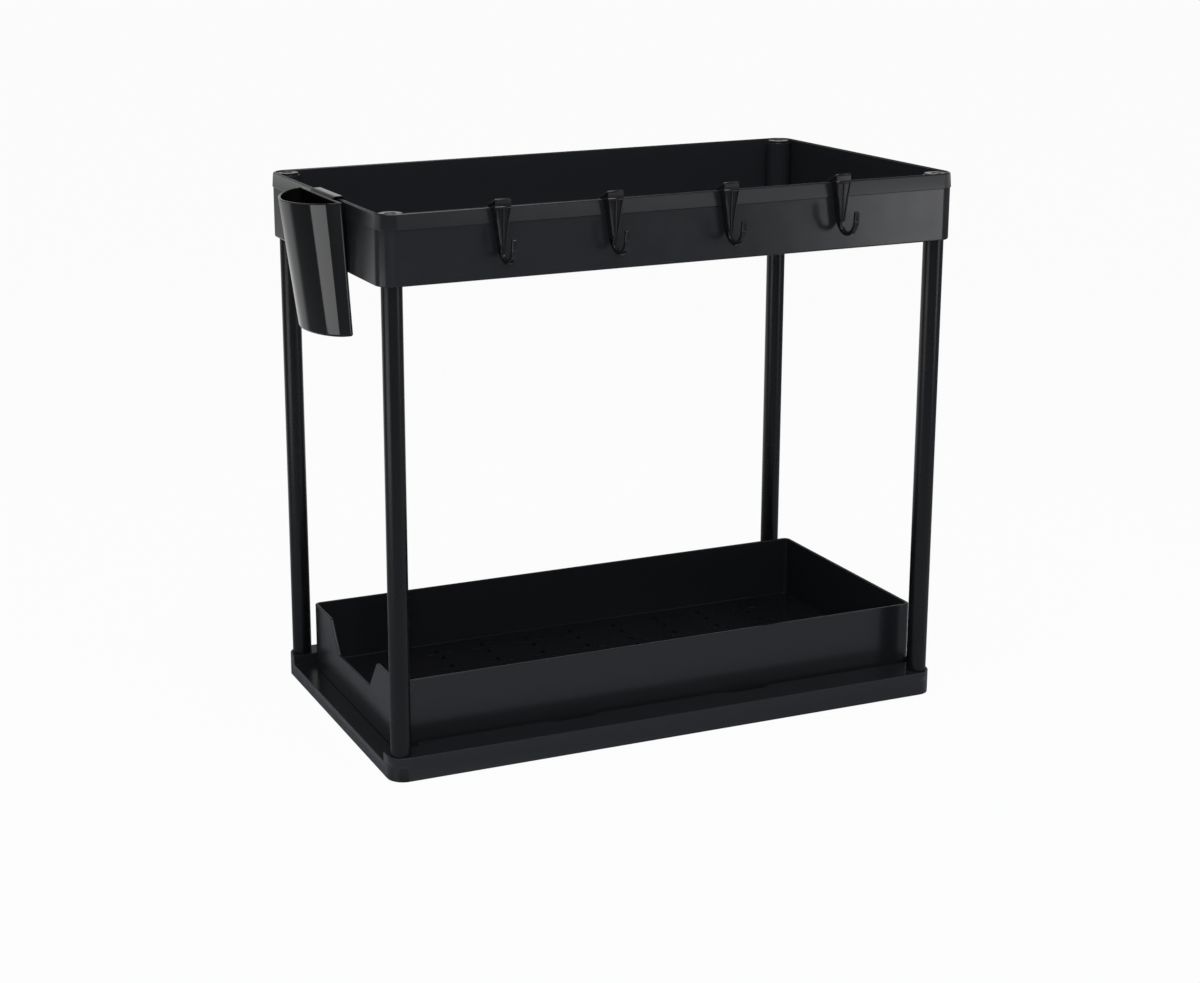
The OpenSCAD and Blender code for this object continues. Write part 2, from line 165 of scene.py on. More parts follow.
floor_mesh = bpy.data.meshes.new("floor")
floor_mesh.from_pydata([(-floor_half, -floor_half, 0), (floor_half, -floor_half, 0),
                        (floor_half, floor_half, 0), (-floor_half, floor_half, 0)], [], [(0, 1, 2, 3)])
floor = bpy.data.objects.new("floor", floor_mesh)
scene.collection.objects.link(floor)
pale = bpy.data.materials.new("pale_floor")
floor_mesh.materials.append(pale)
tree = bare_tree(pale)
seen, in_gloss = rays(tree)
place = add_node(tree, "ShaderNodeTexCoord").outputs["Object"]
away = wired(tree, "ShaderNodeVectorMath", {0: place}, operation="LENGTH").outputs["Value"]
outward = wired(tree, "ShaderNodeVectorMath", {0: place}, operation="NORMALIZE")
axes = wired(tree, "ShaderNodeSeparateXYZ", {0: outward.outputs[0]}).outputs
sweep = combined(tree, "MULTIPLY", eased(tree, away, sweep_start, sweep_end, 0, sweep_white),
                 lit_side(tree, axes))
# painted light: the floor glows for gloss in a patch behind the stand, with none close to its foot
patch = combined(tree, "MULTIPLY", eased(tree, axes["Y"], patch_from, patch_full, 0, 1),
                 combined(tree, "MULTIPLY", eased(tree, away, patch_near, patch_start, 0, patch_white),
                          eased(tree, away, patch_end, patch_gone, 1, patch_rest)))
far_white_and_painted_patch = combined(tree, "MAXIMUM", patch, sweep)
shown = combined(tree, "MAXIMUM", seen, combined(tree, "MULTIPLY", far_white_and_painted_patch, in_gloss))
shade = wired(tree, "ShaderNodeBsdfDiffuse", {"Color": floor_colour})
glow = wired(tree, "ShaderNodeEmission", {"Color": (floor_white, floor_white, floor_white, 1)})
mix = wired(tree, "ShaderNodeMixShader", {
    "Fac": combined(tree, "MULTIPLY", shown, floor_whiteness), 1: shade.outputs[0], 2: glow.outputs[0]})
wired(tree, "ShaderNodeOutputMaterial", {"Surface": mix.outputs[0]})

room = bpy.data.worlds.new("studio")
scene.world = room
tree = bare_tree(room)
seen, in_gloss = rays(tree)
direction = add_node(tree, "ShaderNodeTexCoord")
axes = wired(tree, "ShaderNodeSeparateXYZ", {0: direction.outputs["Generated"]}).outputs
backdrop = combined(tree, "MULTIPLY",
                    eased(tree, axes["Z"], 0, overhead_from, horizon_white, overhead), lit_side(tree, axes))
mirrored = wired(tree, "ShaderNodeMix", {"Factor": in_gloss, "A": room_fill, "B": backdrop},
                 data_type="FLOAT")
strength = wired(tree, "ShaderNodeMix", {"Factor": seen, "A": mirrored.outputs["Result"], "B": white},
                 data_type="FLOAT")
sky = wired(tree, "ShaderNodeBackground", {"Color": (1, 1, 1, 1), "Strength": strength.outputs["Result"]})
wired(tree, "ShaderNodeOutputWorld", {"Surface": sky.outputs[0]})


# Lamps
# Soft boxes: one on the floor at the left draws the bright band on the cup, one at the right front
# lights the tray's right end, one behind the camera lights the insides, and one hangs overhead.
def soft_box(name, place, target, width, height, power, mirrored=True):
    """A soft box at a place, turned to a target, that gloss mirrors or not."""
    lamp = bpy.data.lights.new(name, "AREA")
    lamp.shape = "RECTANGLE"
    lamp.size = width
    lamp.size_y = height
    lamp.energy = power
    box = bpy.data.objects.new(name, lamp)
    scene.collection.objects.link(box)
    box.location = place
    box.rotation_euler = (Vector(target) - Vector(place)).to_track_quat("-Z", "Y").to_euler()
    box.visible_camera = False
    box.visible_glossy = mirrored


middle = (0, 0, 0.2)
soft_box("left_box", place=(-0.889, -0.2, 0.09), target=(0, 0, 0.09), width=0.51, height=0.17, power=0.66)
soft_box("right_box", place=(0.925, -1.06, 0.14), target=(0, 0, 0.14), width=0.35, height=0.28, power=0.79)
soft_box("front_box", place=(-1.1, -3.0, 1.3), target=middle, width=0.6, height=0.6, power=22,
         mirrored=False)
soft_box("top_box", place=(-0.1, -0.3, 1.15), target=middle, width=0.8, height=0.8, power=8)


# Base
# The base is one injection moulding in black polypropylene: a skirt with two ledges that guide the
# drawer, a floor that is open at the left end, and ribs below. Its edges carry the tool's small radius.
base_edge = 0.0004
base_underside = 0.0082
satin_colour = (0.015, 0.0162, 0.019, 1)
plastic_ior = 1.49
grain_scale = 1900
wave_scale = 38
cloud_scale = 90
cloud_low = 0.3
cloud_high = 0.7
sharp_turn = math.radians(32)
flat_turn = math.radians(0.5)
node_weld = 1e-6
piece_weld = 2e-6


def moulded_plastic(name, colour, roughness, spread, grain_depth, wave_depth):
    """Plastic with a fine grain of about half a millimetre and waves of a few centimetres."""
    material = bpy.data.materials.new(name)
    material.use_nodes = True
    tree = material.node_tree
    place = add_node(tree, "ShaderNodeTexCoord").outputs["Object"]
    grain = wired(tree, "ShaderNodeTexNoise", {"Vector": place, "Scale": grain_scale, "Detail": 2})
    fine = wired(tree, "ShaderNodeBump", {"Height": grain.outputs["Fac"], "Distance": grain_depth})
    wave = wired(tree, "ShaderNodeTexNoise", {"Vector": place, "Scale": wave_scale, "Detail": 1})
    slow = wired(tree, "ShaderNodeBump", {
        "Height": wave.outputs["Fac"], "Distance": wave_depth, "Normal": fine.outputs["Normal"]})
    cloud = wired(tree, "ShaderNodeTexNoise", {"Vector": place, "Scale": cloud_scale, "Detail": 4})
    polish = wired(tree, "ShaderNodeMapRange", {
        "Value": cloud.outputs["Fac"], "From Min": cloud_low, "From Max": cloud_high,
        "To Min": roughness - spread, "To Max": roughness + spread})
    shader = tree.nodes["Principled BSDF"]
    shader.inputs["Base Color"].default_value = colour
    shader.inputs["IOR"].default_value = plastic_ior
    tree.links.new(polish.outputs[0], shader.inputs["Roughness"])
    tree.links.new(slow.outputs["Normal"], shader.inputs["Normal"])
    return material


def as_mesh(shape, name):
    """A mesh from a finished shape."""
    mesh = bpy.data.meshes.new(name)
    shape.to_mesh(mesh)
    shape.free()
    return mesh


def applied(piece):
    """The piece with its modifiers worked into a plain mesh."""
    depsgraph = bpy.context.evaluated_depsgraph_get()
    mesh = bpy.data.meshes.new_from_object(piece.evaluated_get(depsgraph))
    piece.modifiers.clear()
    piece.data = mesh
    return piece


def as_piece(mesh, name, material):
    """An object for a mesh, with its material, shaded smooth so that its small radii look round."""
    piece = bpy.data.objects.new(name, mesh)
    scene.collection.objects.link(piece)
    mesh.materials.clear()
    mesh.materials.append(material)
    mesh.shade_smooth()
    return piece


def even_shading(piece):
    """Normals that follow the large faces, so that a flat wall looks flat up to its rounded edge."""
    normals = piece.modifiers.new("normals", "WEIGHTED_NORMAL")
    normals.mode = "FACE_AREA"
    normals.weight = 50
    normals.keep_sharp = False
    return applied(piece)


def round_edges(shape, radius, segments, lowest=-1.0):
    """A small radius along every edge that turns sharply and lies above a height."""
    edges = [edge for edge in shape.edges if len(edge.link_faces) == 2
             and edge.calc_face_angle() > sharp_turn and min(vert.co.z for vert in edge.verts) > lowest]
    bmesh.ops.bevel(shape, geom=edges, offset=radius, segments=segments, profile=0.5, affect="EDGES",
                    clamp_overlap=True, loop_slide=True, miter_outer="ARC")


def closed_up(piece, *others):
    """The piece with other meshes added, welded, with its faces outward and its own material alone:
    a mesh out of Geometry Nodes has an empty slot before it."""
    shape = bmesh.new()
    shape.from_mesh(piece.data)
    for mesh in others:
        shape.from_mesh(mesh)
    bmesh.ops.remove_doubles(shape, verts=shape.verts, dist=piece_weld)
    bmesh.ops.dissolve_degenerate(shape, dist=piece_weld, edges=shape.edges)
    bmesh.ops.recalc_face_normals(shape, faces=shape.faces)
    for face in shape.faces:
        face.material_index = 0
    shape.to_mesh(piece.data)
    shape.free()
    material = piece.data.materials[-1]
    piece.data.materials.clear()
    piece.data.materials.append(material)
    piece.data.shade_smooth()
    return even_shading(piece)


def moulding_of(node, name, radius, segments, material, lowest):
    """A node's own shape, welded, with its flat faces whole and a small radius on its upper edges."""
    shape = bmesh.new()
    shape.from_mesh(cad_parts[node].data)
    bmesh.ops.remove_doubles(shape, verts=shape.verts, dist=node_weld)
    bmesh.ops.dissolve_limit(shape, angle_limit=flat_turn, verts=shape.verts, edges=shape.edges)
    round_edges(shape, radius, segments, lowest)
    return closed_up(as_piece(as_mesh(shape, name), name, material))


def fit(piece, body, slot, *nodes):
    """Fixes a finished piece to its body, in place of the nodes that it stands for."""
    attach(piece, body)
    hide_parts(*nodes)


satin_plastic = moulded_plastic("satin_plastic", satin_colour, roughness=0.2, spread=0.02,
                                grain_depth=0.000012, wave_depth=0.0001)
base = moulding_of("base", "base_moulding", base_edge, 2, satin_plastic, base_underside)
fit(base, "stand", "satin_black", "base")


# Feet
# Four round rubber feet, pushed into seats under the base's corners below the posts.
foot_r = 0.006
foot_t = 0.002
foot_edge = 0.0004
foot_hollow = 0.0004
foot_hollow_r = 0.0035
foot_rim_r = 0.0038
rubber_colour = (0.02, 0.02, 0.02, 1)
post_x = 0.1896
post_y = 0.1015
around = 64


def rounded_line(points, steps=3):
    """A line through (r, z, radius) points, with each corner rounded by its radius."""
    line = []
    for i, (r, z, radius) in enumerate(points):
        here = Vector((r, z))
        if not radius:
            line.append((r, z))
            continue
        before = Vector(points[i - 1][:2]) - here
        after = Vector(points[(i + 1) % len(points)][:2]) - here
        half = before.angle(after) / 2
        reach = radius / math.tan(half)
        middle = here + (before.normalized() + after.normalized()).normalized() * (radius / math.sin(half))
        start = here + before.normalized() * reach - middle
        sweep = start.angle_signed(here + after.normalized() * reach - middle)
        for step in range(steps + 1):
            turn = -sweep * step / steps
            line.append((middle.x + start.x * math.cos(turn) - start.y * math.sin(turn),
                         middle.y + start.x * math.sin(turn) + start.y * math.cos(turn)))
    return line


def ring_round(x, y, radius, z):
    """Points on a level circle."""
    return [(x + radius * math.cos(math.tau * i / around), y + radius * math.sin(math.tau * i / around), z)
            for i in range(around)]


def turned(name, outline, steps=3):
    """A solid of revolution: a closed outline of (r, z, radius) points, turned about Z."""
    shape = bmesh.new()
    rings = []
    for r, z in rounded_line(outline, steps):
        if r:
            rings.append([shape.verts.new(point) for point in ring_round(0, 0, r, z)])
        else:
            rings.append([shape.verts.new((0, 0, z))] * around)
    for k, ring in enumerate(rings):
        above = rings[(k + 1) % len(rings)]
        for i in range(around):
            j = (i + 1) % around
            corners = list(dict.fromkeys((ring[i], ring[j], above[j], above[i])))
            if len(corners) > 2:
                shape.faces.new(corners)
    bmesh.ops.recalc_face_normals(shape, faces=shape.faces)
    return as_mesh(shape, name)


def new_tree(name, inputs):
    """A Geometry Nodes tree with named inputs, and its ends."""
    tree = bpy.data.node_groups.new(name, "GeometryNodeTree")
    tree.interface.new_socket("Geometry", in_out="INPUT", socket_type="NodeSocketGeometry")
    for label, kind in inputs:
        tree.interface.new_socket(label, in_out="INPUT", socket_type="NodeSocket" + kind)
    tree.interface.new_socket("Geometry", in_out="OUTPUT", socket_type="NodeSocketGeometry")
    return tree, tree.nodes.new("NodeGroupInput").outputs, tree.nodes.new("NodeGroupOutput").inputs


def grown(piece, tree, values):
    """The piece with a tree worked into its mesh. Values are by the name of the tree's input."""
    nodes = piece.modifiers.new(tree.name, "NODES")
    nodes.node_group = tree
    for item in tree.interface.items_tree:
        if item.in_out == "INPUT" and item.name in values:
            nodes[item.identifier] = values[item.name]
    piece.data.update()
    return applied(piece)


corners_tree, given, result = new_tree("at_four_corners", [
    ("Spacing X", "Float"), ("Spacing Y", "Float"), ("Material", "Material")])
places = wired(corners_tree, "GeometryNodeMeshGrid", {
    "Size X": given["Spacing X"], "Size Y": given["Spacing Y"], "Vertices X": 2, "Vertices Y": 2})
copies = wired(corners_tree, "GeometryNodeInstanceOnPoints", {
    "Points": places.outputs["Mesh"], "Instance": given["Geometry"]})
solid = wired(corners_tree, "GeometryNodeRealizeInstances", {"Geometry": copies.outputs[0]})
finish = wired(corners_tree, "GeometryNodeSetMaterial", {
    "Geometry": solid.outputs[0], "Material": given["Material"]})
corners_tree.links.new(finish.outputs[0], result["Geometry"])


def at_four_corners(mesh, name, material, slot, node):
    """Like pieces at the four posts' places, in place of the nodes that begin with a name."""
    piece = grown(as_piece(mesh, name, material), corners_tree, {
        "Spacing X": 2 * post_x, "Spacing Y": 2 * post_y, "Material": material})
    fit(even_shading(piece), "stand", slot, *[node + corner for corner in (
        "_front_left", "_front_right", "_back_left", "_back_right")])


rubber = moulded_plastic("foot_rubber", rubber_colour, roughness=0.75, spread=0.04,
                         grain_depth=0.00003, wave_depth=0.0001)
foot = turned("rubber_foot", [
    (0, foot_hollow, 0), (foot_hollow_r, foot_hollow, 0), (foot_rim_r, 0, 0), (foot_r, 0, foot_edge),
    (foot_r, foot_t, 0), (0, foot_t, 0)])
at_four_corners(foot, "rubber_feet", rubber, "foot_rubber", "foot")


# Posts
# Four straight steel tubes with a black lacquer. Each stands in a socket in the base and ends at a
# shoulder in the tray's column.
post_r = 0.0066
post_bore = 0.0056
post_foot = 0.004
shoulder = 0.352
post_edge = 0.0003
lacquer_colour = (0.006, 0.0065, 0.0078, 1)
lacquer_shine = 0.35
lacquer = moulded_plastic("lacquered_tube", lacquer_colour, roughness=0.26, spread=0.02,
                          grain_depth=0.000006, wave_depth=0.00003)
lacquer.node_tree.nodes["Principled BSDF"].inputs["Specular IOR Level"].default_value = lacquer_shine
tube = turned("post_tube", [(post_bore, post_foot, 0), (post_r, post_foot, post_edge),
                            (post_r, shoulder, post_edge), (post_bore, shoulder, 0)], 2)
at_four_corners(tube, "post_tubes", lacquer, "post_tube", "post")


# Upper tray
# One moulding like the base: thin walls under a raised rim band, a floor with rows of petal slots
# that drain it, and a column in each corner that takes a post from below and a cap from above.
tray_l = 0.401
tray_w = 0.223
tray_r = 0.012
tray_corner_steps = 16
tray_top = 0.36
tray_foot = 0.316
tray_floor = 0.3184
rim_t = 0.0028
band_h = 0.01
band_out = 0.0006
band_lean = 0.0007
band_edge = 0.0005
rim_inner_r = 0.0009
rim_outer_r = 0.0011
rim_zone = 0.001
tray_fillet = 0.0015
tray_fillet_run = 1.07
tray_underside = 0.001
underside_run = 1.5
socket_r = 0.00665
socket_hole_r = 0.00675
column_r = 0.0086
column_foot = 0.3164
column_edge = 0.0003
column_bore_edge = 0.0002
cap_seat = 0.3579
slot_pitch_x = 0.035
slot_pitch_y = 0.0308
slot_columns = 9
slot_rows = 5
petal_l = 0.008
petal_w = 0.0029
petal_out = 0.007
petal_sides = 12
slot_edge = 0.00015
hole_step = 0.00175
hole_roof = 0.0005
level_margin = 0.00002
shell_weld = 0.000005

drained, given, result = new_tree("drained_moulding", [
    ("Wall Profile", "Object"), ("Slot Profile", "Object"), ("Holes", "Object"), ("Hole Profile", "Object"),
    ("Middle X", "Float"), ("Floor Top", "Float"), ("Floor Bottom", "Float"),
    ("Pitch X", "Float"), ("Pitch Y", "Float"), ("Columns", "Int"), ("Rows", "Int"),
    ("Petal Length", "Float"), ("Petal Width", "Float"), ("Petal Out", "Float"), ("Material", "Material")])


def built(kind, links, **settings):
    """The first output of a new node in the moulding's tree."""
    return wired(drained, kind, links, **settings).outputs[0]


def product(first, second):
    """Two values multiplied."""
    return combined(drained, "MULTIPLY", first, second)


def vector(**parts):
    """A vector by its parts' names."""
    return built("ShaderNodeCombineXYZ", parts)


def place_parts():
    """The three parts of each point's place."""
    return wired(drained, "ShaderNodeSeparateXYZ", {0: built("GeometryNodeInputPosition", {})}).outputs


def point_value(label):
    """The value kept at each point under a name."""
    return built("GeometryNodeInputNamedAttribute", {"Name": label}, data_type="FLOAT")


def line_of(source, selection=True):
    """The curve along a mesh's edges."""
    return built("GeometryNodeMeshToCurve", {"Mesh": source, "Selection": selection})


def shape_of(label):
    """The mesh of the object given under a name."""
    return wired(drained, "GeometryNodeObjectInfo", {"Object": given[label]}).outputs["Geometry"]


def swept(curve, label):
    """The profile given under a name, swept along a curve with level normals."""
    normals = wired(drained, "GeometryNodeSetCurveNormal", {"Curve": curve})
    if "Mode" in normals.inputs:
        normals.inputs["Mode"].default_value = "Z Up"
    else:
        normals.mode = "Z_UP"
    return built("GeometryNodeCurveToMesh", {
        "Curve": normals.outputs[0], "Profile Curve": line_of(shape_of(label))})


def span(pitch, count):
    """The distance from the first to the last of a row."""
    return product(given[pitch], combined(drained, "SUBTRACT", given[count], 1.0))


# the wall: its profile swept round the outline, with its rim let down by the outline's dip
fall = product(product(point_value("dip"), point_value("rim")), -1.0)
wall = built("GeometryNodeSetPosition", {
    "Geometry": swept(line_of(given["Geometry"]), "Wall Profile"), "Offset": vector(Z=fall)})

# one petal: a ring bent to a lens, its edges lined by the slot's profile
ring = built("GeometryNodeCurvePrimitiveCircle", {"Resolution": petal_sides, "Radius": 1.0})
spot = place_parts()
swell = product(spot["Y"], built("ShaderNodeMath", {0: spot["Y"]}, operation="ABSOLUTE"))
lens = built("GeometryNodeSetPosition", {
    "Geometry": ring, "Position": vector(X=product(spot["X"], product(given["Petal Length"], 0.5)),
                                         Y=product(swell, product(given["Petal Width"], 0.5)))})
petal = swept(lens, "Slot Profile")

# four petals round a blank middle, in rows over the floor
cross = built("GeometryNodeMeshCircle", {"Vertices": 4, "Radius": given["Petal Out"]})
quarter = product(built("GeometryNodeInputIndex", {}), math.pi / 2)
flower = built("GeometryNodeInstanceOnPoints", {
    "Points": cross, "Instance": petal, "Rotation": vector(Z=quarter)})
rows = built("GeometryNodeMeshGrid", {
    "Size X": span("Pitch X", "Columns"), "Size Y": span("Pitch Y", "Rows"),
    "Vertices X": given["Columns"], "Vertices Y": given["Rows"]})
rows = built("GeometryNodeSetPosition", {"Geometry": rows, "Offset": vector(X=given["Middle X"])})
field = built("GeometryNodeInstanceOnPoints", {"Points": rows, "Instance": flower})
field = built("GeometryNodeRealizeInstances", {"Geometry": field})
holes = swept(line_of(shape_of("Holes")), "Hole Profile")

# the floor's two faces: the open edges at each level, filled
open_shell = add_node(drained, "GeometryNodeJoinGeometry")
for source in (wall, field, holes):
    drained.links.new(source, open_shell.inputs[0])
shell = add_node(drained, "GeometryNodeJoinGeometry")
drained.links.new(open_shell.outputs[0], shell.inputs[0])
for level_name in ("Floor Top", "Floor Bottom"):
    single = built("FunctionNodeCompare", {2: built("GeometryNodeInputMeshEdgeNeighbors", {}), 3: 1},
                   data_type="INT", operation="EQUAL")
    near = built("FunctionNodeCompare", {
        0: place_parts()["Z"], 1: given[level_name], "Epsilon": level_margin},
        data_type="FLOAT", operation="EQUAL")
    both = built("FunctionNodeBooleanMath", {0: single, 1: near}, operation="AND")
    face = built("GeometryNodeFillCurve", {"Curve": line_of(open_shell.outputs[0], both)})
    level_face = built("GeometryNodeSetPosition", {"Geometry": face, "Offset": vector(Z=given[level_name])})
    drained.links.new(level_face, shell.inputs[0])
welded = built("GeometryNodeMergeByDistance", {"Geometry": shell.outputs[0], "Distance": shell_weld})
solid = built("GeometryNodeRealizeInstances", {"Geometry": welded})
finish = built("GeometryNodeSetMaterial", {"Geometry": solid, "Material": given["Material"]})
drained.links.new(finish, result["Geometry"])


def mesh_line(name, loops, closed, label=None, values=()):
    """A mesh of lines through points, with a value at each point under a name."""
    mesh = bpy.data.meshes.new(name)
    points = []
    edges = []
    for loop in loops:
        start = len(points)
        points += loop
        last = len(loop) if closed else len(loop) - 1
        edges += [(start + i, start + (i + 1) % len(loop)) for i in range(last)]
    mesh.from_pydata(points, edges, [])
    if label:
        mesh.attributes.new(label, "FLOAT", "POINT").data.foreach_set("value", values)
    return mesh


def round_outline(length, width, radius, steps, middle_x=0):
    """Points round a rectangle with round corners, against the clock from the right side's back end."""
    points = []
    for corner in range(4):
        x = (length / 2 - radius) * (1 if corner in (0, 3) else -1) + middle_x
        y = (width / 2 - radius) * (1 if corner in (0, 1) else -1)
        for step in range(steps + 1):
            angle = (corner + step / steps) * math.pi / 2
            points.append((x + radius * math.cos(angle), y + radius * math.sin(angle), 0))
    return points


def slot_lining(top, bottom, edge):
    """The profile of a slot's lining, flared at both faces of the floor."""
    line = rounded_line([(-1, top, 0), (0, top, edge), (0, bottom, edge), (-1, bottom, 0)], 2)
    return mesh_line("slot_lining", [[(-x, -z, 0) for x, z in line[1:-1]]], False)


def drained_moulding(name, outline, dips, wall, rim_level, floor_top, floor_bottom, middle_x, holes):
    """A tray with a drained floor: the wall's profile is (inward, height, radius) from the floor's
    top face up over the rim and down to its bottom face."""
    line = rounded_line(wall)
    helpers = [
        ("Wall Profile", mesh_line("wall_profile", [[(-d, -z, 0) for d, z in line]], False, "rim",
                                   [1.0 if z > rim_level else 0.0 for d, z in line])),
        ("Slot Profile", slot_lining(floor_top, floor_bottom, slot_edge)),
        ("Holes", mesh_line("holes", holes, True)),
        ("Hole Profile", mesh_line("hole_profile", [[
            (-hole_step, -floor_top, 0), (-hole_step, hole_roof - floor_top, 0),
            (0, hole_roof - floor_top, 0), (0, -floor_bottom, 0)]], False))]
    values = {"Middle X": middle_x, "Floor Top": floor_top, "Floor Bottom": floor_bottom,
              "Pitch X": slot_pitch_x, "Pitch Y": slot_pitch_y, "Columns": slot_columns, "Rows": slot_rows,
              "Petal Length": petal_l, "Petal Width": petal_w, "Petal Out": petal_out,
              "Material": satin_plastic}
    for label, mesh in helpers:
        values[label] = bpy.data.objects.new(label, mesh)
        scene.collection.objects.link(values[label])
    piece = as_piece(mesh_line(name, [outline], True, "dip", dips), name, satin_plastic)
    grown(piece, drained, values)
    for label, mesh in helpers:
        bpy.data.objects.remove(values[label])
        bpy.data.meshes.remove(mesh)
    return piece


column = turned("column", [
    (socket_r, column_foot, 0), (column_r, column_foot, 0), (column_r, cap_seat, column_edge),
    (post_bore, cap_seat, column_bore_edge), (post_bore, shoulder, 0), (socket_r, shoulder, 0)], 2)
socket_rings = []
columns = []
for side in (-1, 1):
    for end in (-1, 1):
        socket_rings.append(ring_round(end * post_x, side * post_y, socket_hole_r, 0))
        standing = column.copy()
        standing.transform(Matrix.Translation((end * post_x, side * post_y, 0)))
        columns.append(standing)
tray_outline = round_outline(tray_l, tray_w, tray_r, tray_corner_steps)
tray_wall = [
    (rim_t + tray_fillet_run * tray_fillet, tray_floor, 0), (rim_t, tray_floor, tray_fillet),
    (rim_t, tray_top, rim_inner_r), (band_lean, tray_top, rim_outer_r), (0, tray_top - band_h, band_edge),
    (band_out, tray_top - band_h, 0), (band_out, tray_foot, tray_underside),
    (band_out + underside_run * tray_underside, tray_foot, 0)]
tray = drained_moulding("tray_moulding", tray_outline, [0.0] * len(tray_outline), tray_wall,
                        tray_top - rim_zone, tray_floor, tray_foot, 0, socket_rings)
fit(closed_up(tray, *columns), "stand", "satin_black", "upper_tray")


# Caps
# A push-in cap closes the top of each post: a flat disc with a round recess, on a stem.
cap_r = 0.0075
cap_t = 0.0014
cap_recess_r = 0.0035
cap_recess = 0.0004
cap_stem_r = 0.00555
cap_stem = 0.016
cap_edge = 0.0004
cap_recess_edge = 0.0002
cap_stem_edge = 0.0005
cap_top = cap_seat + cap_t
cap = turned("post_cap", [
    (0, cap_seat - cap_stem, 0), (cap_stem_r, cap_seat - cap_stem, cap_stem_edge), (cap_stem_r, cap_seat, 0),
    (cap_r, cap_seat, 0), (cap_r, cap_top, cap_edge), (cap_recess_r, cap_top, cap_recess_edge),
    (cap_recess_r, cap_top - cap_recess, cap_recess_edge), (0, cap_top - cap_recess, 0)])
at_four_corners(cap, "post_caps", satin_plastic, "satin_black", "cap")


# Drawer
# A moulding with the same drained floor, thin walls, and a hand cut-out in its left end. Two runners
# slide on the base's floor, and four tabs run under its ledges.
drawer_left = -0.1855
drawer_right = 0.1954
drawer_y = 0.0843
drawer_foot = 0.0097
drawer_top = 0.057
drawer_wall = 0.002
drawer_r = 0.0048
runner_h = 0.0016
drawer_floor = 0.0135
drawer_fillet = 0.0008
drawer_fillet_run = 1.1
drawer_rim_edge = 0.0005
drawer_foot_edge = 0.0004
drawer_rim_zone = 0.0008
corner_steps = 8
grip_top = 0.094
grip_bottom = 0.062
grip_depth = 0.0215
grip_r = 0.0025
grip_steps = 6
tab_places = (0.040, 0.168)
tab_l = 0.024
tab_reach = 0.0909
tab_top = 0.0137
rib_t = 0.0018
rib_sunk = 0.001
bar_edge = 0.0003

drawer_l = drawer_right - drawer_left
drawer_mid = (drawer_left + drawer_right) / 2
drawer_outline = round_outline(drawer_l, 2 * drawer_y, drawer_r, corner_steps, drawer_mid)
slope = math.atan2(grip_depth, (grip_top - grip_bottom) / 2)
grip_reach = grip_r * math.tan(slope / 2)
grip_line = []
for step in range(grip_steps + 1):
    angle = math.pi * 1.5 + slope * step / grip_steps
    grip_line.append((grip_bottom / 2 - grip_reach + grip_r * math.cos(angle),
                      grip_depth - grip_r - grip_r * math.sin(angle)))
for step in range(grip_steps + 1):
    angle = math.pi / 2 + slope * (1 - step / grip_steps)
    grip_line.append((grip_top / 2 + grip_reach + grip_r * math.cos(angle),
                      grip_r - grip_r * math.sin(angle)))
left_end = [(y, fall) for y, fall in reversed(grip_line)] + [(-y, fall) for y, fall in grip_line]
before = 2 * (corner_steps + 1)
drawer_line = (drawer_outline[:before] + [(drawer_left, y, 0) for y, fall in left_end]
               + drawer_outline[before:])
dips = [0.0] * before + [fall for y, fall in left_end] + [0.0] * (len(drawer_outline) - before)
drawer_side = [
    (drawer_wall + drawer_fillet_run * drawer_fillet, drawer_floor, 0),
    (drawer_wall, drawer_floor, drawer_fillet), (drawer_wall, drawer_top, drawer_rim_edge),
    (0, drawer_top, drawer_rim_edge), (0, drawer_foot, drawer_foot_edge),
    (drawer_wall, drawer_foot, drawer_foot_edge), (drawer_wall, drawer_foot + runner_h, 0)]
drawer = drained_moulding("drawer_moulding", drawer_line, dips, drawer_side, drawer_top - drawer_rim_zone,
                          drawer_floor, drawer_foot + runner_h, drawer_mid, [])


def bar(low, high, edge):
    """A straight bar with rounded edges, by its lowest and highest corners."""
    shape = bmesh.new()
    bmesh.ops.create_cube(shape, size=1)
    for vert in shape.verts:
        vert.co = [low[k] if vert.co[k] < 0 else high[k] for k in range(3)]
    bmesh.ops.bevel(shape, geom=shape.edges[:], offset=edge, segments=2, profile=0.5, affect="EDGES")
    return as_mesh(shape, "bar")


bars = []
for side in (-1, 1):
    y = side * 1.5 * slot_pitch_y
    bars.append(bar((drawer_left + drawer_wall / 2, y - rib_t / 2, drawer_foot),
                    (drawer_right - drawer_wall / 2, y + rib_t / 2, drawer_foot + runner_h + rib_sunk),
                    bar_edge))
    inner, outer = sorted((side * (drawer_y - drawer_wall / 2), side * tab_reach))
    for x in tab_places:
        bars.append(bar((x - tab_l / 2, inner, drawer_foot), (x + tab_l / 2, outer, tab_top), bar_edge))
fit(closed_up(drawer, *bars), "drawer", "satin_black", "drawer")


# Hooks
# Four small polished mouldings that clip over the front rim. Each is a flat body with three round ribs
# down its face and two rolls across its head, and it narrows into a J with a bead near its tip.
hook_places = (("hook_1", -0.1238), ("hook_2", -0.0496), ("hook_3", 0.030), ("hook_4", 0.1102))
hook_w = 0.0105
hook_bar_w = 0.003
hook_gap = 0.0003
hook_face = 0.0063
hook_leg = 0.011
hook_leg_t = 0.002
hook_head = 0.0052
hook_crest = 0.001
hook_drop = 0.0215
hook_r = 0.0102
hook_bar_t = 0.0028
hook_tip = 0.0056
hook_flare = 0.00056
hook_bead = 0.00056
hook_rib = 0.0007
hook_roll = 0.001
hook_edge = 0.0005
hook_head_roll = 0.0008
hook_roll_end = 0.0002
hook_bead_end = 0.0004
hook_rib_sunk = 0.0001
hook_bar_edge = 0.0007
hook_rest = 0.0283
hook_rib_in = 0.8 * hook_rib
roll_z = 0.0003
head_roll_in = 0.001
head_roll_down = 0.0003
